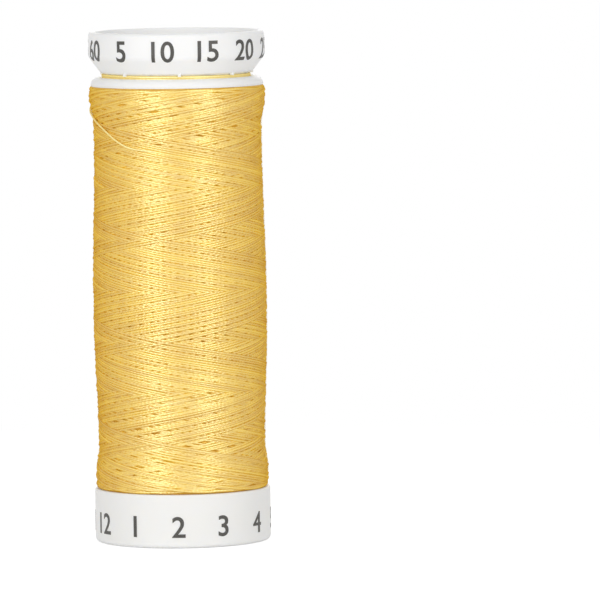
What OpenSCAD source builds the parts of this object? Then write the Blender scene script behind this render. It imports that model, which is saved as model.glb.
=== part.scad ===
// Snap spool of sewing thread, standing on its base band.
// Millimetres, +Z up along the spindle bore, origin at the centre of the base.
// The -Y side is the bare thread side, the label film covers the +Y side.

/* [Spool] */
// Length over both ends with the cap pressed down
spool_len = 58.1; // [52:0.1:70]
// Diameter of the base band and of the cap
flange_d = 20; // [19.6:0.1:24]
// Diameter of the barrel that the thread is wound on
barrel_d = 14; // [13.6:0.1:14.4]
// Wall of the barrel
barrel_wall = 0.7; // [0.5:0.05:0.8]
// Diameter of the hole for the spindle
bore_d = 7.62; // [6.4:0.02:7.8]
// Slope of the dished webs at both ends, in degrees
dish_angle = 27.5; // [20:0.5:30]
// Width of the flat ring round the dished webs
land_w = 1.5; // [1.45:0.05:1.7]

/* [Base] */
// Height of the base band
base_h = 6.1; // [4.5:0.1:8]
// Wall of the base band
base_wall = 1.1; // [0.9:0.05:1.2]
// Thickness of the base web
base_web = 0.9; // [0.7:0.05:1.2]
// Rounding of the lower outside edge
base_edge = 0.5; // [0.2:0.05:0.6]
// Height of the collar round the spindle hole, above the band
collar_h = 10; // [6:0.5:20]

/* [Snap cap] */
// Height of the cap's rim, above its lower edge
cap_h = 4.55; // [4.2:0.05:6]
// Wall of the cap's rim
cap_wall = 0.75; // [0.6:0.05:0.9]
// Thickness of the cap's dished web
cap_web = 1.2; // [0.8:0.05:1.4]
// Rounding of the rim's upper edge
cap_edge = 0.35; // [0.1:0.05:0.35]
// Height of the bevel under the rim
bevel_h = 1.7; // [1:0.05:2]
// How far the bevel and the lip come in from the rim
bevel_in = 1.3; // [1.2:0.05:1.4]
// Wall of the cap's sleeve
sleeve_wall = 0.74; // [0.6:0.02:0.8]
// How far the cap lifts before its bead stops it
cap_travel = 1.2; // [0.6:0.1:2]

/* [Spring tongues] */
// Number of tongues in the cap's web
tongue_count = 8; // [4:1:8]
// Width of a tongue
tongue_w = 0.95; // [0.7:0.05:1.1]
// Width of the slot round a tongue
slot_w = 0.55; // [0.4:0.05:0.6]
// Web left between the sleeve and the slots
slot_root = 0.45; // [0.35:0.05:1]
// Web left between the slots and the rim
slot_rim = 0.8; // [0.75:0.05:1.2]

/* [Lock groove] */
// Height of the groove between the cap and the lip
groove_gap = 0.6; // [0.45:0.05:0.8]
// Height of the lip under the groove
lip_h = 1; // [0.8:0.05:1.5]
// How far the lip lies inside the cap's rim
lip_in = 0.2; // [0:0.05:0.4]
// Thickness of the lock flange at the barrel
lock_flange = 0.8; // [0.6:0.05:1]

/* [Thread] */
// Diameter of one thread
thread_d = 0.25; // [0.2:0.01:0.26]
// Diameter of the strand that stands for a band of threads in the outer layer
strand_d = 1.28; // [0.9:0.02:1.28]
// Turns of the outer layer
outer_turns = 24; // [12:1:24]
// How far the package lies inside the base band's edge, at its foot
foot_in = 0.1; // [0:0.02:0.5]
// The same at the lower waist
low_waist_in = 0.44; // [0.2:0.02:0.7]
// The same at the belly
belly_in = 0.06; // [0:0.02:0.4]
// The same at the upper waist
high_waist_in = 0.37; // [0.2:0.01:0.6]
// How far the shoulder under the lip stands out past that edge
shoulder_out = 0.1; // [-0.3:0.05:0.15]

/* [Label film] */
// Angle that the film covers round the package
film_angle = 160; // [90:5:160]
// Thickness of the film
film_t = 0.12; // [0.08:0.02:0.2]
// Bare thread between the lip and the film
film_top_gap = 3.1; // [2:0.1:8]
// Bare thread between the base band and the film
film_foot_gap = 0.8; // [0.5:0.1:8]

/* [Hidden] */
$fn = 96;

// clearances
guide_clear = 0.05;   // sleeve in its guide tube, a sliding fit
neck_clear = 0.1;     // barrel rim under the cap's web, cap pressed down
seat_clear = 0.3;     // sleeve end over the collar, cap pressed down
pinch_clear = 0.06;   // locked turns under the cap
wound_clear = 0.02;   // wound thread against the body
core_clear = 0.15;    // outer layer over the inner layers
film_clear = 0.06;    // film over the outer layer
tail_clear = 0.03;    // loose strand over what it lies on
notch_clear = 0.2;    // ends of the outer layer in the shoulders' gaps
shoulder_clear = 0.45; // outer layer between the shoulders
guide_room = 0.5;     // guide tube under the groove's floor
cut_over = 1;         // how far a cut runs past an open side
touch = 0.01;         // how far a cut runs past a side that it meets

// radii
flange_r = flange_d / 2;
barrel_r = barrel_d / 2;
barrel_ir = barrel_r - barrel_wall;
bore_r = bore_d / 2;
sleeve_r = bore_r + sleeve_wall;
guide_r = sleeve_r + guide_clear;
guide_wall = 0.8;
lip_r = flange_r - lip_in;
mouth_r = flange_r - bevel_in;        // where the groove opens
land_r = flange_r - land_w;           // inside this radius the end webs are dished
cap_ir = flange_r - cap_wall;
base_ir = flange_r - base_wall;
slot_in = sleeve_r + slot_root;
slot_out = cap_ir - slot_rim;
foot_r = flange_r - foot_in;
slope = tan(dish_angle);

// heights
cap_low = spool_len - cap_h;          // the cap's lower edge
lip_top = cap_low - groove_gap;
lip_low = lip_top - lip_h;            // upper end of the package
seat_z = base_h + collar_h;
sleeve_low = seat_z + seat_clear;
guide_top = cap_low - (mouth_r - guide_r) * slope - guide_room;

// snap bead on the sleeve and its groove in the guide tube
bead_h = 0.2;
bead_len = 1;
bead_up = 2.5;                        // bead above the sleeve's end
bead_z = sleeve_low + bead_up;
bead_room = 0.05;

// small roundings
soft_edge = 0.2;

// dished surfaces: height at a radius
function base_top(r) = base_h + max(0, land_r - r) * slope;
function base_under(r) = base_top(r) - base_web;
function groove_floor(r) = lip_top - (mouth_r - r) * slope;
function cap_under(r) = groove_floor(r) + groove_gap;
function cap_top(r) = cap_under(r) + cap_web;
function lip_under(r) = r >= land_r ? lip_low
    : lip_low - (land_r - r) / (land_r - barrel_r)
      * (lip_low - groove_floor(barrel_r) + lock_flange);

// points of an arc round [r, z] from angle a to angle b
function arc(r, z, radius, a, b, steps = 4) =
    [for (i = [0:steps]) [r, z] + radius * [cos(a + (b - a) * i / steps), sin(a + (b - a) * i / steps)]];

// ---------------------------------------------------------------- spool body
// quarter-round lip under the groove, from the package side up to the groove
function lip_outline(steps = 6) =
    [for (i = [0:steps]) let (a = 90 * i / steps)
        [mouth_r + (lip_r - mouth_r) * cos(a), lip_top - (lip_h - soft_edge) * (1 - sin(a))]];

module spool_body() color("WhiteSmoke")
    rotate_extrude()
        polygon(concat(
            [[bore_r, base_under(bore_r)], [land_r, base_under(land_r)]],
            arc(base_ir - soft_edge, base_h - base_web - soft_edge, soft_edge, 90, 0),
            arc(base_ir + soft_edge, soft_edge, soft_edge, 180, 270),
            arc(flange_r - base_edge, base_edge, base_edge, 270, 360),
            arc(flange_r - soft_edge, base_h - soft_edge, soft_edge, 0, 90),
            [[land_r, base_h], [barrel_r, base_top(barrel_r)]],
            [[barrel_r, lip_under(barrel_r)], [land_r, lip_low], [lip_r, lip_low]],
            lip_outline(),
            [[barrel_r, groove_floor(barrel_r)], [barrel_r, cap_under(barrel_r) - neck_clear]],
            [[barrel_ir, cap_under(barrel_ir) - neck_clear], [barrel_ir, base_top(barrel_ir)]],
            [[guide_r + guide_wall, base_top(guide_r + guide_wall)], [guide_r + guide_wall, guide_top]],
            [[guide_r + soft_edge, guide_top], [guide_r, guide_top - soft_edge]],
            bead_outline(guide_r, bead_room, cap_travel),
            [[guide_r, seat_z], [bore_r, seat_z]]));

// bead or groove of the snap, downwards: its end slopes are as long as half the bead is thick
function bead_outline(r, room, travel) =
    [[r, bead_z + bead_len / 2 + travel + room],
     [r + bead_h, bead_z + bead_len / 2 + travel + room - bead_h],
     [r + bead_h, bead_z - bead_len / 2 - room + bead_h],
     [r, bead_z - bead_len / 2 - room]];

// ------------------------------------------------------------------ snap cap
// underside of the rim, from the lower edge along the bevel up to the straight side
bevel_r = 1.2;
bevel_turn = atan(bevel_in / bevel_h);
function bevel_outline() =
    let (corner_z = cap_low + bevel_h, run = bevel_r * tan(bevel_turn / 2))
    concat([[mouth_r, cap_low]], arc(flange_r - bevel_r, corner_z + run, bevel_r, -bevel_turn, 0));

module snap_cap() color("White") {
    difference() {
        union() {
            cap_shell();
            for (i = [0:tongue_count - 1])
                rotate(pip_phase + i * 360 / tongue_count) groove_pip();
        }
        for (i = [0:tongue_count - 1])
            rotate(pip_phase + (i + 0.5) * 360 / tongue_count) tongue_slot();
    }
}

module cap_shell()
    rotate_extrude()
        polygon(concat(
            [[bore_r, sleeve_low], [sleeve_r - soft_edge, sleeve_low], [sleeve_r, sleeve_low + soft_edge]],
            [for (p = bead_outline(sleeve_r, 0, 0)) [p[0], 2 * bead_z - p[1]]],
            [[sleeve_r, cap_under(sleeve_r)]],
            bevel_outline(),
            arc(flange_r - cap_edge, spool_len - cap_edge, cap_edge, 0, 90),
            arc(cap_ir + soft_edge, spool_len - soft_edge, soft_edge, 90, 180),
            [[cap_ir, cap_top(cap_ir)]],
            arc(bore_r + soft_edge, cap_top(bore_r + soft_edge) - soft_edge, soft_edge, 90 + dish_angle, 180)));

// slot round one tongue: two straight legs joined by a half ring at the outer end
arch_r = (tongue_w + slot_w) / 2;
arch_x = slot_out - arch_r - slot_w / 2;
module tongue_slot() {
    low = cap_under(slot_in) - cut_over;
    deep = cap_top(slot_out) + cut_over - low;
    for (side = [-1, 1])
        translate([slot_in, side * arch_r - slot_w / 2, low]) cube([arch_x - slot_in, slot_w, deep]);
    translate([arch_x, 0, low]) rotate(-90) rotate_extrude(angle = 180)
        translate([arch_r - slot_w / 2, 0]) square([slot_w, deep]);
}

// small pip under the cap's lower edge that keeps the locked turns in
pip_w = 0.35;
pip_drop = 0.3;
pip_phase = 3;
module groove_pip()
    translate([mouth_r - pip_w, -pip_w / 2, cap_low - pip_drop])
        cube([pip_w, pip_w, pip_drop + cap_web / 2]);

// -------------------------------------------------------------- wound thread
// stations of the package: share of its height, radius
stations = [[0.045, foot_r], [0.105, flange_r - low_waist_in],
            [0.42, flange_r - belly_in], [0.49, flange_r - belly_in],
            [0.84, flange_r - high_waist_in], [0.9, flange_r - high_waist_in],
            [0.975, flange_r + shoulder_out]];

// radius of the package at height z, eased from station to station
function ease(t) = (1 - cos(180 * min(1, max(0, t)))) / 2;
function package_r(z) =
    let (share = (z - base_h) / (lip_low - base_h))
    stations[0][1] + package_steps(share, 1);
function package_steps(share, i) = i >= len(stations) ? 0
    : (stations[i][1] - stations[i - 1][1])
      * ease((share - stations[i - 1][0]) / (stations[i][0] - stations[i - 1][0]))
      + package_steps(share, i + 1);

// centre line of the outer layer: straight up from the base band, a quarter bend,
// the turns, and the same again up to the lip
strand_r = strand_d / 2;
strand_bend = 0.75 * strand_d;
strand_az = 90;                       // where both ends meet the flanges
turns_low = base_h + strand_d + strand_bend;
turns_high = lip_low - strand_d - strand_bend;
turn_pitch = (turns_high - turns_low) / outer_turns;
rings_per_turn = 24;
bend_steps = 4;
function on_package(run, z) =
    let (r = package_r(z) - strand_r, az = strand_az + run / (foot_r - strand_r) * 180 / PI)
    [r * cos(az), r * sin(az), z];
turn_run = 2 * PI * (foot_r - strand_r);
function level(p, z) = [p[0], p[1], z];
function turns_path() = concat(
    [level(on_package(0, turns_low - strand_bend), base_h + wound_clear)],
    [for (i = [0:bend_steps - 1]) let (a = 90 * i / bend_steps)
        on_package(strand_bend * (1 - cos(a)), turns_low - strand_bend * (1 - sin(a)))],
    [for (i = [0:outer_turns * rings_per_turn]) let (t = i / (outer_turns * rings_per_turn))
        on_package(strand_bend + t * outer_turns * turn_run, turns_low + t * (turns_high - turns_low))],
    [for (i = [1:bend_steps]) let (a = 90 * i / bend_steps)
        on_package(outer_turns * turn_run + strand_bend * (1 + sin(a)), turns_high + strand_bend * (1 - cos(a)))],
    [level(on_package(outer_turns * turn_run + 2 * strand_bend, turns_high + strand_bend),
        lip_low - wound_clear)]);

// least distance between stretches of a path that lie half a turn or more apart along it
function least_gap(path, thick) =
    min([for (i = [0:len(path) - 1])
        for (j = [i + rings_per_turn / 2:min(len(path) - 1, i + 2 * rings_per_turn)])
            norm(path[j] - path[i])]) - thick;

// tube along a path: each ring stands square to the path, its first corner towards facing[i]
function unit(v) = v / norm(v);
function heading(path, i) = unit(path[min(i + 1, len(path) - 1)] - path[max(i - 1, 0)]);
module tube(path, facing, radius, sides) {
    n = len(path);
    corners = [for (i = [0:n - 1])
        let (t = heading(path, i), u = unit(facing[i] - (facing[i] * t) * t), v = cross(t, u))
        for (k = [0:sides - 1]) let (a = 360 * k / sides)
            path[i] + radius * (cos(a) * u + sin(a) * v)];
    walls = [for (i = [0:n - 2]) for (k = [0:sides - 1])
        let (a = i * sides + k, b = i * sides + (k + 1) % sides)
        each [[a, a + sides, b], [b, a + sides, b + sides]]];
    ends = [for (k = [1:sides - 2]) each [[0, k, k + 1],
        [(n - 1) * sides, (n - 1) * sides + k + 1, (n - 1) * sides + k]]];
    polyhedron(corners, concat(walls, ends));
}

module thread_outer_turns() color("Gold") {
    path = turns_path();
    echo(str("least gap of thread_outer_turns to itself: ", least_gap(path, strand_d), " mm"));
    tube(path, [for (p = path) [p[0], p[1], 0]], strand_r, 6);
}

// inner layers: a plain ring with a shoulder at each end that the outer layer stops at
core_in = strand_d + core_clear;
core_steps = 24;
notch_w = strand_d + 2 * notch_clear;
notch_deep = 0.3;                     // past the core's own side
shoulder_low = turns_low - strand_r - shoulder_clear;
shoulder_high = turns_high + strand_r + shoulder_clear;
function core_side(from, to, inset, steps) =
    [for (i = [0:steps]) let (z = from + (to - from) * i / steps) [package_r(z) - inset, z]];

module thread_package() color("Goldenrod")
    difference() {
        rotate_extrude()
            polygon(concat(
                [[barrel_r + wound_clear, base_top(barrel_r + wound_clear) + wound_clear]],
                [[land_r, base_h + wound_clear]],
                core_side(base_h + wound_clear, shoulder_low, wound_clear, 2),
                core_side(shoulder_low, shoulder_high, core_in, core_steps),
                core_side(shoulder_high, lip_low - wound_clear, wound_clear, 2),
                [[land_r, lip_low - wound_clear]],
                [[barrel_r + wound_clear, lip_under(barrel_r + wound_clear) - wound_clear]]));
        rotate(strand_az) strand_notch(base_h, shoulder_low, 0);
        rotate(strand_az) strand_notch(shoulder_high, lip_low, 2 * strand_bend);
    }

// gap in a shoulder that an end of the outer layer runs through
module strand_notch(from, to, run)
    rotate(run / (foot_r - strand_r) * 180 / PI)
        translate([foot_r - core_in - notch_deep, -notch_w / 2, from - touch])
            cube([notch_deep + core_in + cut_over, notch_w, to - from + 2 * touch]);

// ------------------------------------------------------------ locked thread
// turns wound round the barrel's neck, held between the lip and the cap
lock_in = 0.45;                       // from the mouth of the groove, along its floor
function in_groove(along, up) =
    [mouth_r - along * cos(dish_angle) - up * sin(dish_angle),
     lip_top - along * sin(dish_angle) + up * cos(dish_angle)];
lock_h = groove_gap * cos(dish_angle) - pinch_clear;
lock_len = (mouth_r - barrel_r) / cos(dish_angle) - lock_h * slope - wound_clear;

module thread_lock_turns() color("Khaki")
    rotate_extrude()
        polygon([in_groove(lock_in, wound_clear), in_groove(lock_in, lock_h),
                 in_groove(lock_len, lock_h), in_groove(lock_len, wound_clear)]);

// ------------------------------------------------------------- thread tail
// the strand comes out between two outer turns, lies up and round the package to the left,
// crosses the lip and enters the groove: direction round the axis, depth below the lip
tail_route = [[-109, 7.0], [-115, 6.92], [-124, 6.68], [-134, 6.0], [-146, 4.95], [-156, 4.25], [-167, 3.6],
              [-180, 2.9], [-194, 2.2], [-208, 1.5], [-220, 0.9], [-230, 0.4]];
tail_out_az = -105;
cross_az = -236;                      // over the shoulder's edge
dip_az = -240.5;                      // over the lip's upper edge
mouth_az = -243.4;                    // at the mouth of the groove
tail_in_az = -244;
tail_lift = thread_d / 2 + tail_clear;
tail_part = (tail_out_az - strand_az + 360) / 360 - strand_bend / turn_run + 0.5;
tail_turn = round((lip_low - tail_route[0][1] - turns_low) / turn_pitch - tail_part);
tail_out_z = turns_low + turn_pitch * (tail_turn + tail_part);
function polar(az, r, z) = [r * cos(az), r * sin(az), z];
function in_mouth(az, along, up) = let (p = in_groove(along, up)) polar(az, p[0], p[1]);
tail_up = (lock_h + wound_clear) / 2;
cross_up = 0.15;
dip_out = 0.45;
mouth_out = 0.25;
mouth_up = 0.05;
mouth_in = 0.2;
tail_knots = concat(
    [polar(tail_out_az, package_r(tail_out_z) - core_in + tail_clear, tail_out_z)],
    [polar(tail_out_az, package_r(tail_out_z) - core_in + 2 * thread_d, tail_out_z)],
    [polar(tail_out_az, package_r(tail_out_z) - tail_lift + wound_clear, tail_out_z)],
    [for (p = tail_route) let (z = lip_low - p[1]) polar(p[0], package_r(z) + tail_lift, z)],
    [polar(cross_az, flange_r + shoulder_out + tail_lift + wound_clear, lip_low + cross_up)],
    [polar(dip_az, (lip_r + mouth_r) / 2 + dip_out, lip_top - wound_clear)],
    [in_mouth(mouth_az, -mouth_out, tail_up + mouth_up)],
    [in_mouth(tail_in_az, mouth_in, tail_up)],
    [in_mouth(tail_in_az, lock_in - touch, tail_up)]);

// point on the smooth curve through the knots, at share t of the stretch from knot i
function knot(i) = tail_knots[min(max(i, 0), len(tail_knots) - 1)];
function smooth(i, t) =
    0.5 * (2 * knot(i) + (knot(i + 1) - knot(i - 1)) * t
        + (2 * knot(i - 1) - 5 * knot(i) + 4 * knot(i + 1) - knot(i + 2)) * t * t
        + (3 * knot(i) - knot(i - 1) - 3 * knot(i + 1) + knot(i + 2)) * t * t * t);
function tail_path() = concat(
    [for (i = [0:len(tail_knots) - 2])
        let (steps = max(1, round(norm(knot(i + 1) - knot(i)) / (3 * thread_d))))
        for (k = [0:steps - 1]) smooth(i, k / steps)],
    [knot(len(tail_knots) - 1)]);

module thread_tail() color("Khaki") {
    path = tail_path();
    tube(path, [for (p = path) [0, 0, 1]], thread_d / 2, 8);
}

// -------------------------------------------------------------- label film
film_low = base_h + film_foot_gap;
film_high = lip_low - film_top_gap;
film_steps = 20;
module label_film() color([0.95, 0.9, 0.75, 0.4])
    rotate(90 - film_angle / 2)
        rotate_extrude(angle = film_angle)
            polygon(concat(
                core_side(film_low, film_high, -film_clear, film_steps),
                core_side(film_high, film_low, -film_clear - film_t, film_steps)));

spool_body();
snap_cap();
thread_package();
thread_outer_turns();
thread_tail();
thread_lock_turns();
label_film();
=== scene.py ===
import math

import bmesh
import bpy
import numpy as np
from mathutils import Matrix, Vector


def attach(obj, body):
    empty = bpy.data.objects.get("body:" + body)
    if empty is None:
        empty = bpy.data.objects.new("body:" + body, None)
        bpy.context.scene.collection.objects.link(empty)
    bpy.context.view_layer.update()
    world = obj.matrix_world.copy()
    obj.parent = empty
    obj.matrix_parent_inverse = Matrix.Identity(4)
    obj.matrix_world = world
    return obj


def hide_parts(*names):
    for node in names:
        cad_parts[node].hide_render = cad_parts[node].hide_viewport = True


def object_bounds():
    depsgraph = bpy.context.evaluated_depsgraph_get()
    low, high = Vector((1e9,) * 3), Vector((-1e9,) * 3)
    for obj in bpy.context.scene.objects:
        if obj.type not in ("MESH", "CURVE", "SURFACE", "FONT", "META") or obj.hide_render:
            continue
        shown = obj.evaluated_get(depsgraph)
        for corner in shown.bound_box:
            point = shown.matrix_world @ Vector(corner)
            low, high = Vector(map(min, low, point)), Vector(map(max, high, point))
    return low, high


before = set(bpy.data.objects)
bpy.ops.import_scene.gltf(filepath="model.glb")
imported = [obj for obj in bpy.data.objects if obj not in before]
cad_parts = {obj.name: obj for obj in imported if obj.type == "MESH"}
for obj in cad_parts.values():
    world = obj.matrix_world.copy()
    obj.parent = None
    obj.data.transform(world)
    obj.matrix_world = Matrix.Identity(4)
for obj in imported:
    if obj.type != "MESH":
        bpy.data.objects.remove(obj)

cad_box = [list(corner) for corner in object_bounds()]

# ------------------------------------------------------------------ camera
# A long lens about 0.8 m in front of the spool and a little above it, level
# but for a small tilt, with the spool at the left of the frame.
CAMERA_AT = Vector((0.01367, -0.8116, 0.09025))    # metres
CAMERA_DOWN = 0.0775      # radians below level
CAMERA_ROLL = -0.0134     # radians
LENS = 428.6              # mm, on the default 36 mm sensor
NEAREST, FURTHEST = 0.05, 100      # metres, between which the camera sees


def placed(name, data):
    """A new object with this mesh, lamp, lens or text, linked into the scene."""
    thing = bpy.data.objects.new(name, data)
    bpy.context.scene.collection.objects.link(thing)
    return thing


lens = bpy.data.cameras.new("camera")
lens.lens = LENS
lens.clip_start, lens.clip_end = NEAREST, FURTHEST
camera = placed("camera", lens)
level_view = Matrix.Rotation(math.pi / 2 - CAMERA_DOWN, 4, "X")
roll = Matrix.Rotation(CAMERA_ROLL, 4, "Z")
camera.matrix_world = Matrix.Translation(CAMERA_AT) @ level_view @ roll
bpy.context.scene.camera = camera
bpy.context.scene.view_settings.view_transform = "Standard"

# -------------------------------------------------------------- spool body
# One white polystyrene moulding: the base band with its dished end, the barrel
# and the lock flange. Its finish is semi-gloss, with the faint waviness and
# grain that a mould leaves.
MM = 0.001                # metres in a millimetre


def node_maker(tree):
    """Clears a node tree and gives a function that adds one node, with its inputs and settings."""
    tree.nodes.clear()

    def add(kind, inputs=None, **settings):
        node = tree.nodes.new(kind)
        for key, value in settings.items():
            setattr(node, key, value)
        for socket, value in (inputs or {}).items():
            target = node.inputs[socket]
            if isinstance(value, bpy.types.NodeSocket):
                tree.links.new(value, target)
            else:
                target.default_value = value
        return node
    return add


def look(name, finish):
    """A material: finish(add) builds its nodes and gives back the shader's output."""
    material = bpy.data.materials.new(name)
    material.use_nodes = True
    add = node_maker(material.node_tree)
    add("ShaderNodeOutputMaterial", {"Surface": finish(add)})
    return material


def linear(red, green, blue):
    """An sRGB colour, 0 to 255, as the linear colour that a shader takes."""
    def one(value):
        value /= 255
        return value / 12.92 if value <= 0.04045 else ((value + 0.055) / 1.055) ** 2.4
    return one(red), one(green), one(blue), 1.0


def moulded_white(pale, warm):
    """Semi-gloss moulded plastic: pale is its colour, warm the colour in its flow marks."""
    def finish(add):
        place = add("ShaderNodeTexCoord").outputs["Object"]
        cloud = add("ShaderNodeTexNoise", {"Vector": place, "Scale": 90.0, "Detail": 3.0,
                                           "Roughness": 0.5})
        colour = add("ShaderNodeMix", {"Factor": cloud.outputs["Fac"], "A": pale, "B": warm},
                     data_type="RGBA")
        grain = add("ShaderNodeTexNoise", {"Vector": place, "Scale": 2600.0, "Detail": 2.0})
        wave = add("ShaderNodeTexNoise", {"Vector": place, "Scale": 260.0, "Detail": 1.0})
        rough = add("ShaderNodeMapRange", {"Value": wave.outputs["Fac"], "To Min": 0.56,
                                           "To Max": 0.7})
        soft = add("ShaderNodeBump", {"Height": wave.outputs["Fac"], "Strength": 0.25,
                                      "Distance": 0.05 * MM})
        bump = add("ShaderNodeBump", {"Height": grain.outputs["Fac"], "Strength": 0.2,
                                      "Distance": 0.006 * MM, "Normal": soft.outputs["Normal"]})
        return add("ShaderNodeBsdfPrincipled", {
            "Base Color": colour.outputs["Result"], "Roughness": rough.outputs["Result"],
            "Normal": bump.outputs["Normal"], "IOR": 1.5, "Subsurface Weight": 0.25,
            "Subsurface Radius": (1.2, 1.1, 0.9), "Subsurface Scale": 0.6 * MM}).outputs["BSDF"]
    return finish


BODY_PALE, BODY_WARM = linear(243, 243, 242), linear(239, 239, 237)
body_white = look("moulded_body_white", moulded_white(BODY_PALE, BODY_WARM))
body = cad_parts["spool_body"]
body.data.materials.clear()
body.data.materials.append(body_white)

# ------------------------------------------------------------ base numbers
# Plain numbers printed in dark ink round the base band, as on a dial: a pad
# print a few hundredths of a millimetre thick.
BAND_R = 10.0             # mm, radius of the base band
NUMBER_H = 2.3            # mm, height of a number before its strokes are made bolder
BASE_NUMBERS_Z = 1.3      # mm, foot of the numbers
BASE_FIRST_AZ = -122      # degrees, middle of the number 1
INK_UP = 0.02             # mm over the plastic
INK_DOWN = 0.01           # mm of its back inside the plastic
INK_DARK, INK_WORN = linear(62, 61, 58), linear(88, 86, 82)
CURVE_STEPS = 6           # points along each curve of a digit
FONT_SLIVER = 0.002       # font units, points closer than this become one
SLIVER = 0.005            # mm, the same once the number has its size
BOLDER = 0.045            # mm added to each side of a stroke
MITRE = 0.5               # limit that keeps a sharp corner from running out to a spike
CUT_EVERY = 0.3           # mm between the cuts that let a number bend


def printed_ink(add):
    """Dark ink with a fine speckle."""
    place = add("ShaderNodeTexCoord").outputs["Object"]
    speck = add("ShaderNodeTexNoise", {"Vector": place, "Scale": 3200.0, "Detail": 2.0})
    colour = add("ShaderNodeMix", {"Factor": speck.outputs["Fac"], "A": INK_DARK, "B": INK_WORN},
                 data_type="RGBA")
    return add("ShaderNodeBsdfPrincipled", {"Base Color": colour.outputs["Result"],
                                            "Roughness": 0.45, "IOR": 1.45}).outputs["BSDF"]


ink = look("printed_ink", printed_ink)


def embolden(slab):
    """Moves the outline of a flat number outwards, with mitred corners."""
    outward = {v: [] for v in slab.verts}
    for edge in slab.edges:
        if edge.is_boundary:
            loop = edge.link_loops[0]
            start, end = loop.vert, loop.link_loop_next.vert
            out = (end.co - start.co).cross(loop.face.normal).normalized()
            outward[start].append(out)
            outward[end].append(out)
    for v, outs in outward.items():
        if len(outs) == 2:
            v.co += (outs[0] + outs[1]) * BOLDER / max(MITRE, 1 + outs[0].dot(outs[1]))


def flat_number(label):
    """A number as a slab in mm: middle at x 0, foot at y 0, back at z 0 and face at z 1."""
    words = bpy.data.curves.new("number", "FONT")
    words.body, words.resolution_u = label, CURVE_STEPS
    holder = placed("number", words)
    evaluated = holder.evaluated_get(bpy.context.evaluated_depsgraph_get())
    mesh = bpy.data.meshes.new_from_object(evaluated)
    slab = bmesh.new()
    slab.from_mesh(mesh)
    bpy.data.objects.remove(holder)
    bpy.data.meshes.remove(mesh)
    bpy.data.curves.remove(words)

    bmesh.ops.remove_doubles(slab, verts=slab.verts, dist=FONT_SLIVER)
    xs, ys = [v.co.x for v in slab.verts], [v.co.y for v in slab.verts]
    grow = NUMBER_H / (max(ys) - min(ys))
    for v in slab.verts:
        v.co = ((v.co.x - (min(xs) + max(xs)) / 2) * grow, (v.co.y - min(ys)) * grow, 0)
    slab.normal_update()
    embolden(slab)

    half = (max(xs) - min(xs)) * grow / 2
    for axis, cut, reach in ((0, CUT_EVERY / 2 - half, half), (1, CUT_EVERY / 2, NUMBER_H)):
        while cut < reach:
            spot, normal = [0, 0, 0], [0, 0, 0]
            spot[axis], normal[axis] = cut, 1
            bmesh.ops.bisect_plane(slab, geom=slab.verts[:] + slab.edges[:] + slab.faces[:],
                                   plane_co=spot, plane_no=normal)
            cut += CUT_EVERY
    bmesh.ops.remove_doubles(slab, verts=slab.verts, dist=SLIVER)
    bmesh.ops.dissolve_degenerate(slab, edges=slab.edges, dist=SLIVER)
    raised = bmesh.ops.extrude_face_region(slab, geom=slab.faces[:])
    for part in raised["geom"]:
        if isinstance(part, bmesh.types.BMVert):
            part.co.z = 1
    bmesh.ops.recalc_face_normals(slab, faces=slab.faces[:])
    # put in order of place, because the cuts leave the parts in another order each run
    for parts, place_of in ((slab.verts, lambda v: tuple(v.co)),
                            (slab.edges, lambda e: tuple(e.verts[0].co + e.verts[1].co)),
                            (slab.faces, lambda f: tuple(f.calc_center_median()))):
        rank = {part: i for i, part in enumerate(sorted(parts, key=place_of))}
        parts.sort(key=rank.get)
        parts.index_update()
    return slab


def on_surface(az, radius, z, face):
    """A point of a print in metres, on a surface of this radius in mm; face is 1 on the ink's face."""
    radius = radius + (INK_UP if face > 0.5 else -INK_DOWN)
    return Vector((radius * math.cos(az), radius * math.sin(az), z)) * MM


def add_to_print(whole, slab):
    """Moves a bent slab into the mesh of the whole print."""
    mesh = bpy.data.meshes.new("slab")
    slab.to_mesh(mesh)
    slab.free()
    whole.from_mesh(mesh)
    bpy.data.meshes.remove(mesh)


def print_piece(name, whole):
    """The whole print as one piece in ink."""
    mesh = bpy.data.meshes.new(name)
    whole.to_mesh(mesh)
    whole.free()
    mesh.materials.append(ink)
    return placed(name, mesh)


def ring_of_numbers(name, labels, foot_z, radius_at, first_az):
    """Numbers evenly round the spool, read from outside; radius_at(height) is the surface there."""
    ring = bmesh.new()
    for i, label in enumerate(labels):
        slab = flat_number(label)
        middle = math.radians(first_az) + i * 2 * math.pi / len(labels)
        for v in slab.verts:
            z = foot_z + v.co.y
            az = middle + v.co.x / radius_at(foot_z + NUMBER_H)
            v.co = on_surface(az, radius_at(z), z, v.co.z)
        add_to_print(ring, slab)
    return print_piece(name, ring)


base_numbers = ring_of_numbers("base_numbers", [str(n) for n in range(1, 13)], BASE_NUMBERS_Z,
                               lambda z: BAND_R, BASE_FIRST_AZ)
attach(base_numbers, "spool")

# ------------------------------------------------------------ wound thread
# Polyester sewing thread, cross wound: each strand climbs the package in about
# four turns and comes down again beside its last course, so that bands of
# rising and of falling strands lie over each other. Nothing but tension holds it.
BAND_H = 6.1              # mm, top of the base band
LIP_LOW = 51.95           # mm, underside of the lip
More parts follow.
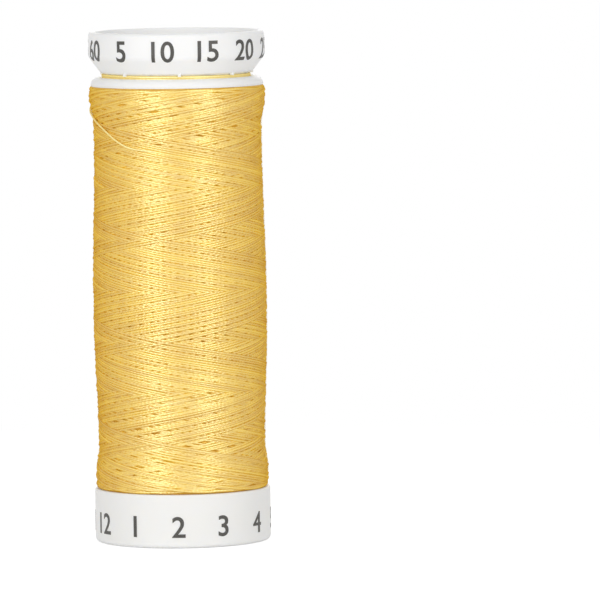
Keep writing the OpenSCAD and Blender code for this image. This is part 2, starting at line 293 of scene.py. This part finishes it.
# share of the package's height, and mm that its surface lies inside the flanges there
PACKAGE = ((0.045, 0.1), (0.105, 0.44), (0.42, 0.06), (0.49, 0.06), (0.84, 0.37), (0.9, 0.37),
           (0.975, -0.1))
STRAND = 0.34             # mm, diameter of the thread with its fuzz
PLY_TURN = 0.9            # mm, length of one turn of the plies
PLY_WAVE = 1.2566         # scale of the wave that shows two ribs in such a turn
THREAD_DEEP, THREAD_LIGHT = linear(198, 131, 24), linear(250, 205, 58)
TONES = (0.1, 0.5)        # darkest and lightest strand, from the deep yellow to the light one
COURSES = 42              # rises, and as many falls, that fill one layer
LAYERS = 2                # that lie over the inner layers
TURNS_UP = (8 + 1 / COURSES) / 2   # turns in one rise
FIRST_AZ = 84.7           # degrees, where the first strand starts
TURN_BACK = 0.1           # turns over which a strand bends from rising to falling
SHORT_BY = 0.9            # mm at most that a strand turns back short of a flange
SHORT_FADE = 6            # power at which that dies away along the course
PAIR_SHIFT = 0.025        # mm, by which neighbouring courses draw together in pairs
WANDER = 0.02             # mm, spread of a course's place and of its wobbles
WOBBLES = 60              # places along a course where it wobbles
TAUT = 0.5                # share of the way from draping over a dip to spanning it
NESTLED = 0.375           # diameters that a strand's middle lies over the strands below it
CELL = 0.1                # mm, grid that the strands are piled up on
AROUND = 614              # cells round the package
BRIDGE = 12               # cells each way over which a taut strand spans a dip
RING_STEP = 12            # cells between the rings of a strand's mesh
LOWER_SIDES, UPPER_SIDES = 4, 6    # round a strand below, and round one that shows
LOWER_SHARE = 20, 11      # of this many courses, this many are below
CREST_REACH = (3, 6)      # rows and columns each way within which the highest strand is the crest
CREST_CALM = (5, 9)       # rows and columns each way over which the crest is evened out
DEEPEST = 0.15            # mm, that tension leaves of the loose pile's depth
SOFTNESS = 0.55           # mm of the loose pile that is pressed to two thirds of that
HOLLOW_IN = 0.8           # mm inside the band's edge, where no strand reaches the surface
FALL_OFF = 0.03           # mm that a strand's top falls from one cell to the next
chance = np.random.default_rng(11)     # seeded, so that each run winds the same package


def package_r(z):
    """Radius of the package's surface at a height, in mm."""
    share = (np.asarray(z, float) - BAND_H) / (LIP_LOW - BAND_H)
    radius = BAND_R - PACKAGE[0][1] + 0 * share
    for (low, low_in), (high, high_in) in zip(PACKAGE, PACKAGE[1:]):
        part = np.clip((share - low) / (high - low), 0, 1)
        radius = radius + (low_in - high_in) * (1 - np.cos(np.pi * part)) / 2
    return radius


def course(share, up, pair, short):
    """Heights along one rise or fall, with a soft turn short of each flange and a little wander."""
    turn = TURN_BACK / TURNS_UP
    even = np.where(share < turn, share**2 / (2 * turn), share - turn / 2)
    even = np.where(share > 1 - turn, 1 - turn - (1 - share) ** 2 / (2 * turn), even) / (1 - turn)
    even, (short_low, short_high) = (even, short) if up else (1 - even, short[::-1])
    low, high = BAND_H + STRAND / 2, LIP_LOW - STRAND / 2
    z = low + (high - low) * even
    z = z + short_low * (1 - even) ** SHORT_FADE - short_high * even**SHORT_FADE
    z = z + (pair + chance.normal(0, WANDER)) * np.sin(np.pi * share)
    z = z + np.interp(share, np.linspace(0, 1, WOBBLES), chance.normal(0, WANDER, WOBBLES))
    return np.clip(z, low, high)


def cell_of(angle, z):
    """Row and column of the grid at these angles and heights."""
    row = np.round((z - BAND_H) / CELL).astype(int)
    return row, np.round(angle / 360 * AROUND).astype(int) % AROUND


def wind():
    """Piles the strands up one by one: the pile, and each strand's angles, heights and depths in it."""
    rows = int((LIP_LOW - BAND_H) / CELL) + 1
    pile = np.zeros((rows, AROUND))
    count = int(TURNS_UP * AROUND)
    share = (np.arange(count) + 0.5) / count
    bell = np.hanning(2 * BRIDGE + 1)
    bell /= bell.sum()
    across = np.array([-1, 0, 1])
    crown = np.sqrt((STRAND / 2) ** 2 - (across * CELL) ** 2)
    az, laid, number = FIRST_AZ, [], 2 * COURSES * LAYERS
    short = chance.uniform(0, SHORT_BY, number + 1)
    for i in range(number):
        pair = PAIR_SHIFT if i // 2 % 2 else -PAIR_SHIFT
        z = course(share, i % 2 == 0, pair, short[i:i + 2])
        angle = az + share * TURNS_UP * 360
        az += TURNS_UP * 360
        row, column = cell_of(angle, z)
        near = [np.clip(row + k, 0, rows - 1) for k in across]
        below = np.max([pile[r, column] for r in near], axis=0)
        padded = np.pad(below, BRIDGE, mode="edge")
        span = np.max([padded[k:k + count] for k in range(0, 2 * BRIDGE + 1, 2)], axis=0)
        span = np.convolve(np.pad(span, BRIDGE, mode="edge"), bell, "valid")
        draped = np.convolve(padded, bell, "valid")
        middle = TAUT * span + (1 - TAUT) * draped + NESTLED * STRAND
        for r, rise in zip(near, crown):
            np.maximum.at(pile, (r, column), middle + rise)
        laid.append((angle, z, middle))
    return pile, laid


def at(angle, radius, z):
    """Points in metres from angles in degrees and radii and heights in mm."""
    angle = np.radians(angle)
    return np.stack([radius * np.cos(angle), radius * np.sin(angle), z + 0 * angle], axis=1) * MM


def square_to(path):
    """Two directions square to a path at each point: away from the spool's axis, and sideways."""
    ahead = np.gradient(path, axis=0)
    ahead /= np.linalg.norm(ahead, axis=1, keepdims=True)
    out = path * (1, 1, 0)
    out = out - (out * ahead).sum(1, keepdims=True) * ahead
    out /= np.linalg.norm(out, axis=1, keepdims=True)
    return out, np.cross(ahead, out)


def strands(name, paths, thick, sides, tones):
    """One mesh of round strands along paths in metres, each with its tone and a map of its plies."""
    points, quads, ends, maps, tone = [], [], [], [], []
    ring = 2 * np.pi * np.arange(sides) / sides
    start = 0
    for path, shade in zip(paths, tones):
        n = len(path)
        out, side = square_to(path)
        skin = path[:, None] + thick / 2 * MM * (np.cos(ring)[None, :, None] * out[:, None]
                                                 + np.sin(ring)[None, :, None] * side[:, None])
        points.append(skin.reshape(-1, 3))
        i, k = np.meshgrid(np.arange(n - 1), np.arange(sides), indexing="ij")
        a, b = start + i * sides + k, start + i * sides + (k + 1) % sides
        quads.append(np.stack([a, b, b + sides, a + sides], axis=2).reshape(-1, 4))
        steps = np.linalg.norm(np.diff(path, axis=0), axis=1)
        run = np.concatenate([[0], np.cumsum(steps)]) / (PLY_TURN * MM)
        u = np.stack([run[i], run[i], run[i + 1], run[i + 1]], axis=2).reshape(-1)
        v = np.stack([k, k + 1, k + 1, k], axis=2).reshape(-1) / sides
        maps.append(np.stack([u, v], axis=1))
        tone.append(np.repeat(shade if np.ndim(shade) else np.full(n, shade), sides))
        ends += [list(range(start, start + sides))[::-1],
                 list(range(start + (n - 1) * sides, start + n * sides))]
        start += n * sides
    mesh = bpy.data.meshes.new(name)
    quads = np.concatenate(quads)
    mesh.from_pydata(np.concatenate(points).tolist(), [], quads.tolist() + ends)
    mesh.shade_smooth()
    along = mesh.uv_layers.new(name="along")
    flat = np.zeros((len(mesh.loops), 2), np.float32)
    flat[:4 * len(quads)] = np.concatenate(maps)
    along.data.foreach_set("uv", flat.ravel())
    mesh.attributes.new("tone", "FLOAT", "POINT").data.foreach_set(
        "value", np.concatenate(tone).astype(np.float32))
    return placed(name, mesh)


def spun_thread(deep, light):
    """Twisted polyester: its plies are fine ribs, and it has most gloss where it faces the eye."""
    def finish(add):
        place = add("ShaderNodeTexCoord").outputs["Object"]
        tone = add("ShaderNodeAttribute", attribute_name="tone").outputs["Fac"]
        drift = add("ShaderNodeTexNoise", {"Vector": place, "Scale": 700.0, "Detail": 3.0})
        mixed = add("ShaderNodeMath", {0: drift.outputs["Fac"], 1: 0.5, 2: tone},
                    operation="MULTIPLY_ADD")
        colour = add("ShaderNodeMix", {"Factor": mixed.outputs[0], "A": deep, "B": light},
                     data_type="RGBA")
        along = add("ShaderNodeUVMap", uv_map="along").outputs["UV"]
        ply = add("ShaderNodeTexWave", {"Vector": along, "Scale": PLY_WAVE, "Distortion": 1.5,
                                        "Detail": 1.0}, wave_type="BANDS", bands_direction="DIAGONAL")
        bump = add("ShaderNodeBump", {"Height": ply.outputs["Fac"], "Strength": 0.35,
                                      "Distance": 0.04 * MM})
        fibre = add("ShaderNodeBsdfPrincipled", {
            "Base Color": colour.outputs["Result"], "Roughness": 0.6,
            "Normal": bump.outputs["Normal"], "Specular IOR Level": 0.0})
        gloss = add("ShaderNodeBsdfAnisotropic", {"Color": (1.0, 1.0, 0.56, 1.0), "Roughness": 0.38,
                                                  "Normal": bump.outputs["Normal"]})
        slant = add("ShaderNodeLayerWeight", {"Blend": 0.5, "Normal": bump.outputs["Normal"]})
        share = add("ShaderNodeMapRange", {"Value": slant.outputs["Facing"], "To Min": 0.42,
                                           "To Max": 0.0})
        return add("ShaderNodeMixShader", {0: share.outputs["Result"], 1: fibre.outputs["BSDF"],
                                           2: gloss.outputs["BSDF"]}).outputs["Shader"]
    return finish


thread_look = look("spun_yellow_thread", spun_thread(THREAD_DEEP, THREAD_LIGHT))


def around(cells, tall, wide, pick):
    """Each cell's value picked from the cells near it, up to tall rows and wide columns away."""
    cells = pick([np.roll(cells, k, 1) for k in range(-wide, wide + 1)], axis=0)
    padded = np.pad(cells, ((tall, tall), (0, 0)), mode="edge")
    return pick([padded[k:k + len(cells)] for k in range(2 * tall + 1)], axis=0)


pile, laid = wind()
crest = around(around(pile, *CREST_REACH, np.max), *CREST_CALM, np.mean)
surface = np.full(pile.shape, BAND_R - HOLLOW_IN)    # mm, radius of the finished package in each cell
paths, tones = [], []
for angle, z, middle in laid:
    row, column = cell_of(angle, z)
    depth = np.maximum(0, crest[row, column] - middle - STRAND / 2)
    radius = package_r(z) - STRAND / 2 - DEEPEST * (1 - np.exp(-depth / SOFTNESS))
    for k in (-1, 0, 1):
        near = np.clip(row + k, 0, len(pile) - 1)
        np.maximum.at(surface, (near, column), radius + STRAND / 2 - FALL_OFF * abs(k))
    rings = np.unique(np.append(np.arange(0, len(z), RING_STEP), len(z) - 1))
    paths.append(at(angle[rings], radius[rings], z[rings])[:-1])
    tones.append(np.full(len(rings) - 1, chance.uniform(*TONES)))

# one unbroken strand, in two pieces: the courses below, and those that show
below = len(paths) * LOWER_SHARE[1] // LOWER_SHARE[0]
lower_turns = strands("thread_lower_turns", [np.concatenate(paths[:below])], STRAND, LOWER_SIDES,
                      [np.concatenate(tones[:below])])
upper_turns = strands("thread_upper_turns", [np.concatenate(paths[below:])], STRAND, UPPER_SIDES,
                      [np.concatenate(tones[below:])])
for piece in (lower_turns, upper_turns):
    piece.data.materials.append(thread_look)
    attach(piece, "spool")
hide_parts("thread_outer_turns")

# ------------------------------------------------- inner layers of thread
# The rest of the same thread, which fills the package down to the barrel. It is
# seen only between the strands over it, so it is one closed ring with their ribs.
INNER_DEPTH = 0.32        # mm under the package's surface
INNER_R = 7.05            # mm, inside of the ring
INNER_GAP = 0.03          # mm free at each flange
INNER_RINGS, INNER_STEPS = 90, 180     # points up the ring and round it
# painted shade: the deeper colour lies between the ribs, where the buried strands would shade each
# other
INNER_PAINTED_SHADE, INNER_LIGHT = linear(222, 166, 66), linear(252, 214, 104)
RIB_WAVE = 0.628 / (2 * STRAND * MM) / 2     # scale of the wave with a rib to every two strands


def turned(name, outline, steps, arc=2 * math.pi, start=0.0):
    """A closed outline of (radius, height) in mm, turned round the axis by an arc or all the way."""
    outline = np.array(outline, float)
    whole = arc > 2 * math.pi - 1e-6
    az = start + arc * np.arange(steps if whole else steps + 1) / steps
    points = np.stack([np.outer(np.cos(az), outline[:, 0]), np.outer(np.sin(az), outline[:, 0]),
                       np.broadcast_to(outline[:, 1], (len(az), len(outline)))], axis=2) * MM
    m = len(outline)
    faces = []
    for i in range(steps):
        j = (i + 1) % len(az)
        faces += [(i * m + k, j * m + k, j * m + (k + 1) % m, i * m + (k + 1) % m) for k in range(m)]
    if not whole:
        faces += [tuple(range(m)), tuple(range(len(az) * m - 1, (len(az) - 1) * m - 1, -1))]
    mesh = bpy.data.meshes.new(name)
    mesh.from_pydata(points.reshape(-1, 3).tolist(), [], faces)
    mesh.validate()
    build = bmesh.new()
    build.from_mesh(mesh)
    bmesh.ops.recalc_face_normals(build, faces=build.faces[:])
    build.to_mesh(mesh)
    build.free()
    return placed(name, mesh)


def packed_thread(add):
    """Buried strands: close ribs round the package, with painted shade between them."""
    place = add("ShaderNodeTexCoord").outputs["Object"]
    ribs = add("ShaderNodeTexWave", {"Vector": place, "Scale": RIB_WAVE, "Distortion": 2.0,
                                     "Detail": 2.0}, wave_type="BANDS", bands_direction="Z")
    colour = add("ShaderNodeMix", {"Factor": ribs.outputs["Fac"], "A": INNER_PAINTED_SHADE, "B": INNER_LIGHT},
                 data_type="RGBA")
    bump = add("ShaderNodeBump", {"Height": ribs.outputs["Fac"], "Strength": 0.8,
                                  "Distance": 0.1 * MM})
    return add("ShaderNodeBsdfPrincipled", {
        "Base Color": colour.outputs["Result"], "Roughness": 0.8,
        "Normal": bump.outputs["Normal"]}).outputs["BSDF"]


inner_z = np.linspace(BAND_H + INNER_GAP, LIP_LOW - INNER_GAP, INNER_RINGS)
inner_line = [(r, z) for r, z in zip(package_r(inner_z) - INNER_DEPTH, inner_z)]
inner_line = [(INNER_R, inner_z[0])] + inner_line + [(INNER_R, inner_z[-1])]
inner_layers = turned("thread_inner_layers", inner_line, INNER_STEPS)
inner_layers.data.shade_smooth()
inner_layers.data.materials.append(look("packed_inner_thread", packed_thread))
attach(inner_layers, "spool")
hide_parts("thread_package")

# ------------------------------------------------------------ loose strand
# The end of the thread: it comes out of the package, lies up and round it to
# the left, crosses the lip and goes into the lock groove. Held at both ends only.
TAIL_D = 0.22             # mm
# direction round the axis in degrees, depth in mm below the lip
TAIL_ROUTE = ((-109, 7.0), (-115, 6.92), (-124, 6.68), (-134, 6.0), (-146, 4.95), (-156, 4.25),
              (-167, 3.6), (-180, 2.9), (-194, 2.2), (-208, 1.5), (-220, 0.9), (-230, 0.4))
TAIL_OUT_AZ, TAIL_OUT_DEPTH = -105.0, 7.1     # the same, where it comes out of the package
TAIL_OUT = (-0.9, -0.35, -0.08)    # mm past the package's surface, at three points on its way out
ROUTE_STEP = 1.5          # degrees, or mm of depth, between points of the route
TAIL_STEP = 0.4           # mm between the rings of its mesh
TAIL_TONE = 0.5           # from the deep yellow to the light one
TAIL_PRESSED = 0.08       # mm that it lies into the strands below it
TAIL_SPAN, TAIL_CALM = 5, 7        # points that it spans, and over which that is evened out
LIP_TOP = 52.95           # mm, upper edge of the lip
LIP_R = 9.8               # mm, radius of the lip
LIP_CLEAR = TAIL_D / 2 + 0.03      # mm from the lip to the strand's middle
MOUTH_R = 8.7             # mm, radius where the groove opens
DISH = math.radians(27.5)          # slope of the groove's floor
LOCK_UP = 0.22            # mm over the groove's floor, middle of the locked turns
SINGLE_SIDES = 8          # round the strand
# painted light: paler than the package, standing in for the light that passes through a single strand
SINGLE_DEEP, SINGLE_LIGHT = linear(232, 186, 96), linear(253, 232, 152)


def in_groove(along, up):
    """Radius and height at a distance in from the groove's mouth and up from its floor."""
    return (MOUTH_R - along * math.cos(DISH) - up * math.sin(DISH),
            LIP_TOP - along * math.sin(DISH) + up * math.cos(DISH))


def smooth_through(knots, step):
    """A smooth curve through the knots, with a point about every step."""
    knots = np.array(knots, float)
    padded = np.concatenate([knots[:1], knots, knots[-1:]])
    curve = []
    for p, q, r, s in zip(padded, padded[1:], padded[2:], padded[3:]):
        count = max(2, int(round(np.linalg.norm(r - q) / step)))
        t = (np.arange(count) / count)[:, None]
        curve.append(0.5 * (2 * q + (r - p) * t + (2 * p - 5 * q + 4 * r - s) * t**2
                            + (3 * q - p - 3 * r + s) * t**3))
    return np.concatenate(curve + [knots[-1:]])


resting = around(surface, 1, 1, np.max)


def rests_at(az, z):
    """Radii at which the loose strand lies on the package, taut over its small dips."""
    lies = np.pad(resting[cell_of(az, z)], TAIL_SPAN, mode="edge")
    lies = np.max([lies[k:k + len(z) + TAIL_CALM - 1] for k in range(TAIL_SPAN)], axis=0)
    lies = np.mean([lies[k:k + len(z)] for k in range(TAIL_CALM)], axis=0)
    return lies + TAIL_D / 2 - TAIL_PRESSED


tail_out_z = LIP_LOW - TAIL_OUT_DEPTH
knots = [at(np.array([TAIL_OUT_AZ]), package_r(tail_out_z) + past, tail_out_z)[0]
         for past in TAIL_OUT]
route = smooth_through(TAIL_ROUTE, ROUTE_STEP)
route_az, route_z = route[:, 0], LIP_LOW - route[:, 1]
knots += list(at(route_az, rests_at(route_az, route_z), route_z))
# over the lip and down into the groove: degrees, then radius and height in mm
over_lip = [(-236, BAND_R + 0.1 + LIP_CLEAR + 0.02, LIP_LOW + 0.15),
            (-240.5, (LIP_R + MOUTH_R) / 2 + 0.45, LIP_TOP - 0.02),
            (-243.4, *in_groove(-0.25, LOCK_UP + 0.05)), (-244, *in_groove(0.2, LOCK_UP)),
            (-246, *in_groove(0.5, LOCK_UP)), (-262, *in_groove(0.72, LOCK_UP))]
for az, radius, z in over_lip:
    knots.append(at(np.array([float(az)]), radius, z)[0])
tail = strands("thread_loose_strand", [smooth_through(knots, TAIL_STEP * MM)], TAIL_D, SINGLE_SIDES,
               [TAIL_TONE])
# the loose strand and the locked turns share this pale colour of painted light
single_look = look("spun_yellow_thread_single", spun_thread(SINGLE_DEEP, SINGLE_LIGHT))
tail.data.materials.append(single_look)
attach(tail, "spool")
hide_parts("thread_tail")

# ------------------------------------------------------------ locked turns
# A few turns of the same thread round the neck, pinched between the lip and
# the cap. They lie side by side on the dished floor of the groove, two deep.
LOCK_TURNS = 5            # side by side in each of the two rows
LOCK_ROWS = ((0.16, 0.17), (0.05, 0.36))     # mm in from the mouth, and up from the floor
LOCK_FIRST_AZ = 40        # degrees
LOCK_PRESSED = 0.04       # mm that neighbouring turns lie into each other
LOCK_WANDER = 0.03        # mm, as far as a turn wanders either way
LOCK_WAVES, LOCK_PHASE = 41, 20    # radians of that along a row, and for each mm that it lies up
LOCK_STEPS = 72           # rings of the mesh in each turn
LOCK_TONES = (0.3, 0.5)   # of the two rows

lock_paths = []
for first, up in LOCK_ROWS:
    t = np.linspace(0, 1, LOCK_TURNS * LOCK_STEPS + 1)
    along = first + t * LOCK_TURNS * (STRAND - LOCK_PRESSED)
    wander = LOCK_WANDER * np.sin(t * LOCK_WAVES + up * LOCK_PHASE)
    spots = np.array([in_groove(a + w, up) for a, w in zip(along, wander)])
    lock_paths.append(at(LOCK_FIRST_AZ + 360 * LOCK_TURNS * t, spots[:, 0], spots[:, 1]))
locked = strands("thread_locked_turns", lock_paths, STRAND, SINGLE_SIDES, LOCK_TONES)
locked.data.materials.append(single_look)
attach(locked, "spool")
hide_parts("thread_lock_turns")

# ------------------------------------------------------------- label film
# A clear polypropylene film, wrapped round the back half of the package and
# held by a line of tack along its two straight edges.
FILM_ARC = math.radians(160)
FILM_FOOT, FILM_HEAD = BAND_H + 0.8, LIP_LOW - 3.1     # mm, its lower and upper edge
FILM_UP = 0.07            # mm from the package's surface to the film's back
FILM_T = 0.06             # mm, its thickness
FILM_RINGS, FILM_STEPS = 60, 96    # points up the film and along its arc


def clear_film(add):
    """Clear and a little rippled: a mirror at its edges, where it is seen at a slant."""
    place = add("ShaderNodeTexCoord").outputs["Object"]
    ripple = add("ShaderNodeTexNoise", {"Vector": place, "Scale": 180.0, "Detail": 2.0,
                                        "Distortion": 0.4})
    bump = add("ShaderNodeBump", {"Height": ripple.outputs["Fac"], "Strength": 0.5,
                                  "Distance": 0.25 * MM})
    rough = add("ShaderNodeMapRange", {"Value": ripple.outputs["Fac"], "To Min": 0.06,
                                       "To Max": 0.14})
    gloss = add("ShaderNodeBsdfAnisotropic", {
        "Color": (1, 1, 1, 1), "Roughness": rough.outputs["Result"],
        "Normal": bump.outputs["Normal"]})
    clear = add("ShaderNodeBsdfTransparent", {"Color": linear(253, 252, 247)})
    facing = add("ShaderNodeLayerWeight", {"Blend": 0.5, "Normal": bump.outputs["Normal"]})
    slant = add("ShaderNodeMath", {0: facing.outputs["Facing"], 1: 4.0}, operation="POWER")
    mirror = add("ShaderNodeMapRange", {"Value": slant.outputs[0], "To Min": 0.04, "To Max": 0.8})
    return add("ShaderNodeMixShader", {0: mirror.outputs["Result"], 1: clear.outputs["BSDF"],
                                       2: gloss.outputs["BSDF"]}).outputs["Shader"]


film_z = np.linspace(FILM_FOOT, FILM_HEAD, FILM_RINGS)
film_in = [(r, z) for r, z in zip(package_r(film_z) + FILM_UP, film_z)]
film_out = [(r + FILM_T, z) for r, z in film_in]
film = turned("label_film_sheet", film_in + film_out[::-1], FILM_STEPS, FILM_ARC,
              math.pi / 2 - FILM_ARC / 2)
film.data.shade_smooth()
film.data.materials.append(look("clear_film", clear_film))
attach(film, "spool")
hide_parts("label_film")

# ------------------------------------------------------ scale on the film
# A plain centimetre scale, printed along the film in the same dark ink as the
# numbers, with its nought near the cap.
SCALE_TOP = 47.9          # mm, height of the scale's nought
SCALE_CM = 4              # cm, its length
TICK_W = 0.16             # mm, width of a mark
TICK_CM, TICK_HALF_CM, TICK_MM = 2.4, 1.8, 1.1     # mm, length of each kind of mark
TICK_AZ = 84.0            # degrees, foot of the marks
SCALE_NUMBERS_AZ = TICK_AZ + 18    # degrees, foot of the numbers


def print_on_film(whole, slab, z_start, foot_az):
    """Bends a slab on to the film: its x runs from the cap towards the base, its y round the spool."""
    for v in slab.verts:
        z = z_start - v.co.x
        outside = package_r(z) + FILM_UP + FILM_T
        v.co = on_surface(math.radians(foot_az) + v.co.y / outside, outside, z, v.co.z)
    add_to_print(whole, slab)


def flat_tick(length):
    """One mark of the scale as a slab like a number's, cut across so that it can bend."""
    slab = bmesh.new()
    corners = ((-TICK_W / 2, 0), (TICK_W / 2, 0), (TICK_W / 2, 1), (-TICK_W / 2, 1))
    cuts = int(length / CUT_EVERY) + 2
    rings = []
    for i in range(cuts):
        y = length * i / (cuts - 1)
        rings.append([slab.verts.new((x, y, z)) for x, z in corners])
    for low, high in zip(rings, rings[1:]):
        for k in range(4):
            slab.faces.new((low[k], low[(k + 1) % 4], high[(k + 1) % 4], high[k]))
    slab.faces.new(rings[0][::-1])
    slab.faces.new(rings[-1])
    bmesh.ops.recalc_face_normals(slab, faces=slab.faces[:])
    return slab


scale_print = bmesh.new()
for mm in range(10 * SCALE_CM + 1):
    length = TICK_CM if mm % 10 == 0 else TICK_HALF_CM if mm % 5 == 0 else TICK_MM
    print_on_film(scale_print, flat_tick(length), SCALE_TOP - mm, TICK_AZ)
    if mm % 10 == 0:
        print_on_film(scale_print, flat_number(str(mm // 10)), SCALE_TOP - mm, SCALE_NUMBERS_AZ)
film_scale = print_piece("film_scale", scale_print)
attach(film_scale, "spool")

# ---------------------------------------------------------------- snap cap
# The second white moulding: a rim and a dished web with eight spring tongues,
# on a sleeve that slides in the barrel. Pressed down it pinches the thread.
CAP_PALE, CAP_WARM = linear(244, 244, 244), linear(240, 240, 239)
cap_white = look("moulded_cap_white", moulded_white(CAP_PALE, CAP_WARM))
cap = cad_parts["snap_cap"]
cap.data.materials.clear()
cap.data.materials.append(cap_white)

# ------------------------------------------------------------- cap numbers
# Plain numbers in fives round the cap's rim, printed as those on the base are.
# The rim's outside is a bevel from the groove's mouth, an arc, then straight up.
CAP_TOP, CAP_LOW = cad_box[1][2] / MM, 53.55     # mm
CAP_NUMBERS_DOWN = 3.15   # mm from the cap's top to the foot of the numbers
CAP_FIRST_AZ = -128       # degrees, middle of the number 5
BEVEL_H = 1.7             # mm, height of the bevel
ARC_R = 1.2               # mm, radius of the arc
BEVEL_TURN = math.atan((BAND_R - MOUTH_R) / BEVEL_H)
ARC_TOP = CAP_LOW + BEVEL_H + ARC_R * math.tan(BEVEL_TURN / 2)


def rim_r(z):
    """Radius of the rim's outside at a height, in mm."""
    if z >= ARC_TOP:
        return BAND_R
    if z >= ARC_TOP - ARC_R * math.sin(BEVEL_TURN):
        return BAND_R - ARC_R + math.sqrt(ARC_R**2 - (ARC_TOP - z) ** 2)
    return MOUTH_R + (z - CAP_LOW) * math.tan(BEVEL_TURN)


cap_numbers = ring_of_numbers("cap_numbers", [str(n) for n in range(5, 65, 5)],
                              CAP_TOP - CAP_NUMBERS_DOWN, rim_r, CAP_FIRST_AZ)
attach(cap_numbers, "cap")

# -------------------------------------------------- floor, surround, lamps
# A plain white floor that keeps the spool's soft shadow, a white surround, and
# the large soft lamps of a product table.
FLOOR_R = 0.45            # metres, radius of the floor
FLOOR_WHITE = linear(238, 238, 238)
GLOW_NEAR, GLOW_FAR = 0.03, 0.14   # metres from the axis, between which the floor fades into white
GLOW_SHARE = 0.6          # share of the glow in the floor's colour near the spool
GLOW_STRENGTH = 1.38      # that makes it as white there as the surround
SURROUND_LIGHT = 0.52     # strength of the surround's light; to the eye it is 1
AIM = Vector((0, 0, 0.03))         # metres, where the lamps point


def seen_directly(add):
    """The kind of each ray, and 1 for those that meet the eye straight or off a gloss, else 0."""
    path = add("ShaderNodeLightPath")
    seen = add("ShaderNodeMath", {0: path.outputs["Is Camera Ray"], 1: path.outputs["Is Glossy Ray"]},
               operation="MAXIMUM")
    return path, seen


def floor_white(add):
    """White to the eye, a little darker in the spool's shade, and further out as the surround."""
    path, seen = seen_directly(add)
    seen = add("ShaderNodeMath", {0: seen.outputs[0], 1: path.outputs["Is Transmission Ray"]},
               operation="MAXIMUM")
    plain = add("ShaderNodeBsdfDiffuse", {"Color": FLOOR_WHITE})
    place = add("ShaderNodeTexCoord").outputs["Object"]
    away = add("ShaderNodeVectorMath", {0: place}, operation="LENGTH")
    share = add("ShaderNodeMapRange", {
        "Value": away.outputs["Value"], "From Min": GLOW_NEAR, "From Max": GLOW_FAR,
        "To Min": GLOW_SHARE, "To Max": 1.0}, interpolation_type="SMOOTHSTEP")
    strength = add("ShaderNodeMapRange", {
        "Value": share.outputs["Result"], "From Min": GLOW_SHARE, "From Max": 1.0,
        "To Min": GLOW_STRENGTH, "To Max": 1.0})
    glow = add("ShaderNodeEmission", {"Color": (1, 1, 1, 1), "Strength": strength.outputs["Result"]})
    pale = add("ShaderNodeMixShader", {0: share.outputs["Result"], 1: plain.outputs["BSDF"],
                                       2: glow.outputs["Emission"]})
    return add("ShaderNodeMixShader", {0: seen.outputs[0], 1: plain.outputs["BSDF"],
                                       2: pale.outputs["Shader"]}).outputs["Shader"]


def soft_lamp(name, spot, width, height, watts):
    """A rectangular lamp at a spot in metres, pointed at the middle of the spool."""
    lamp = bpy.data.lights.new(name, "AREA")
    lamp.shape, lamp.size, lamp.size_y, lamp.energy = "RECTANGLE", width, height, watts
    holder = placed(name, lamp)
    holder.location = spot
    holder.rotation_euler = (AIM - Vector(spot)).to_track_quat("-Z", "Y").to_euler()


floor_rim = [2 * math.pi * i / 64 for i in range(64)]
floor_mesh = bpy.data.meshes.new("floor")
floor_mesh.from_pydata([(FLOOR_R * math.cos(a), FLOOR_R * math.sin(a), 0) for a in floor_rim],
                       [], [tuple(range(len(floor_rim)))])
floor_mesh.materials.append(look("white_floor", floor_white))
floor = placed("floor", floor_mesh)

surround = bpy.data.worlds.new("surround")
bpy.context.scene.world = surround
surround.use_nodes = True
add = node_maker(surround.node_tree)
path, seen = seen_directly(add)
strength = add("ShaderNodeMapRange", {"Value": seen.outputs[0], "To Min": SURROUND_LIGHT,
                                      "To Max": 1.0})
back = add("ShaderNodeBackground", {"Color": (1, 1, 1, 1), "Strength": strength.outputs["Result"]})
add("ShaderNodeOutputWorld", {"Surface": back.outputs["Background"]})

soft_lamp("lamp_left", (-0.42, -0.645, 0.17), 0.3, 0.5, 2.3)
soft_lamp("lamp_right", (0.47, -0.605, 0.13), 0.25, 0.5, 1.88)
soft_lamp("lamp_top", (0.0, -0.1, 0.75), 0.6, 0.6, 0.3)
soft_lamp("lamp_back", (0.06, 0.78, 0.3), 0.3, 0.5, 2.2)
